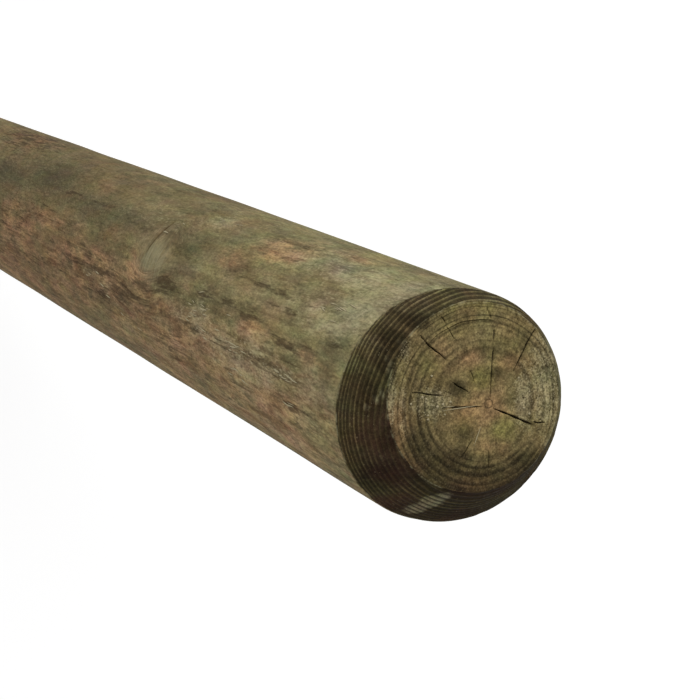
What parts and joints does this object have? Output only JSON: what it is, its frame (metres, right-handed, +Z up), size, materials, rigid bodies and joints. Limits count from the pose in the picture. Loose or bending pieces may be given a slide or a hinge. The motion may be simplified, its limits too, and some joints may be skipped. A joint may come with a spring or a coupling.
{
  "type": "round pine pole",
  "caption": "Machine-rounded pine pole with chamfered ends, a crooked chamfer at the top and drying checks in its end grain; stands fixed at its butt or carries clamped fittings.",
  "frame": {"origin": "centre of the butt's flat face, at ground level", "axes": "+Z up the pole's axis; the chamfer at the top is cut off centre and leans towards -X"},
  "size_m": [0.12, 0.12, 2.0041],
  "materials": {
    "pine": "rough"
  },
  "bodies": {
    "root": {"pole": "pine"}
  },
  "joints": []
}
